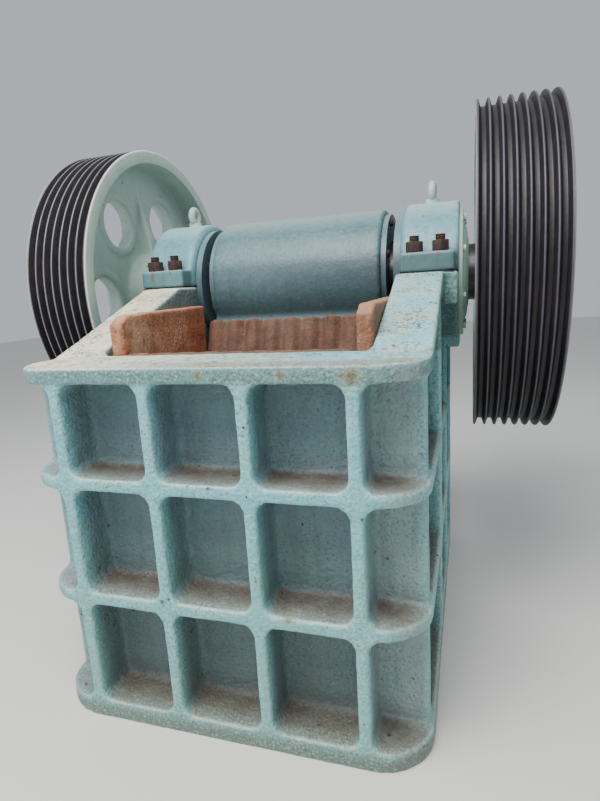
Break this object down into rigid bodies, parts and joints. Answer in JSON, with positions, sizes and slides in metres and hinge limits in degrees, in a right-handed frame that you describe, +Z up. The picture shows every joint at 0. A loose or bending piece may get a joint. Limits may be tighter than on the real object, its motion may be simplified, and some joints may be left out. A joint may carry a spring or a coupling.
{
  "type": "jaw crusher",
  "caption": "Single-toggle jaw crusher with a ribbed cast frame, grooved flywheels on an eccentric shaft, and a swinging jaw driven against a fixed one.",
  "frame": {"origin": "on the ground under the middle of the whole machine", "axes": "+Z up, front ribbed wall towards -Y, tension rods towards +Y, shaft along X"},
  "size_m": [1.922, 2.035, 1.909],
  "materials": {
    "frame_paint": "pale blue-green enamel on rough sand-cast steel, weathered, rust dust in the pockets",
    "cap_paint": "light blue enamel on cast steel, weathered",
    "wheel_paint": "pale green enamel on cast iron, belt grooves worn dark",
    "jaw_steel": "rusted manganese steel casting",
    "fastener_steel": "dark rusted steel",
    "dark_steel": "dark oxidised steel",
    "shaft_steel": "turned steel, greasy"
  },
  "bodies": {
    "frame": {"front_wall": "frame_paint", "side_wall_left": "frame_paint", "side_wall_right": "frame_paint", "rear_wall": "frame_paint", "spring_bracket": "frame_paint", "bearing_cap_left": "cap_paint", "bearing_cap_right": "cap_paint", "cap_shims": "dark_steel", "cap_studs": "fastener_steel", "lifting_eyes": "wheel_paint", "main_bearings": "shaft_steel", "outer_covers": "wheel_paint", "inner_covers": "cap_paint", "fixed_jaw_plate": "jaw_steel", "cheek_upper_left": "jaw_steel", "cheek_upper_right": "jaw_steel", "cheek_lower_left": "jaw_steel", "cheek_lower_right": "jaw_steel", "toggle_plate": "fastener_steel", "rear_toggle_seat": "dark_steel", "adjusting_block": "fastener_steel", "adjusting_shims": "fastener_steel", "adjusting_screws": "fastener_steel", "tension_rods": "fastener_steel", "springs": "dark_steel", "spring_seats": "fastener_steel", "rod_nuts": "fastener_steel"},
    "drive": {"eccentric_shaft": "shaft_steel", "flywheel_left": "wheel_paint", "flywheel_right": "wheel_paint", "shaft_end_plates": "fastener_steel"},
    "swing": {"swing_jaw": "cap_paint", "swing_bearings": "shaft_steel", "swing_covers": "cap_paint", "swing_jaw_plate": "jaw_steel", "front_toggle_seat": "dark_steel", "rod_pins": "fastener_steel"}
  },
  "joints": [
    {"name": "shaft_spin", "type": "hinge", "parent": "frame", "child": "drive", "pos_m": [0, 0.1485, 1.294], "axis": [1, 0, 0], "continuous": true},
    {"name": "jaw_orbit", "type": "hinge", "parent": "drive", "child": "swing", "pos_m": [0, 0.16014, 1.2969], "axis": [1, 0, 0], "continuous": true}
  ],
  "couplings": [
    {"joint": "jaw_orbit", "follows": "shaft_spin", "ratio": -1}
  ]
}
